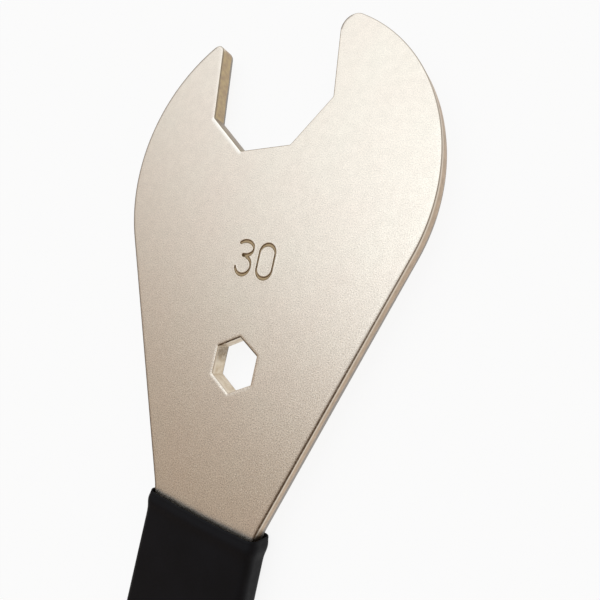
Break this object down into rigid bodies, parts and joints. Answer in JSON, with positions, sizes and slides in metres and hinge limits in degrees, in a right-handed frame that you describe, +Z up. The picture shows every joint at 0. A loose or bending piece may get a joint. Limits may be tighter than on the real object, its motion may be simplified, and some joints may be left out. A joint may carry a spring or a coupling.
{
  "type": "headset wrench",
  "caption": "Flat open-jaw spanner for a bicycle headset locknut, stamped from steel plate, with a hexagonal hole and a sleeve grip.",
  "frame": {"origin": "on the axis of the locknut that the jaw holds, at the level of the surface the wrench lies on", "axes": "+Y along the handle towards the jaw, +X to the right seen from the front face, +Z up out of the front face"},
  "size_m": [0.0752, 0.2232, 0.007],
  "materials": {
    "plated_steel": "fine-blasted plate with a warm satin nickel plating",
    "black_vinyl": "soft matte dipped vinyl"
  },
  "bodies": {
    "root": {"blade": "plated_steel", "grip": "black_vinyl"}
  },
  "joints": []
}
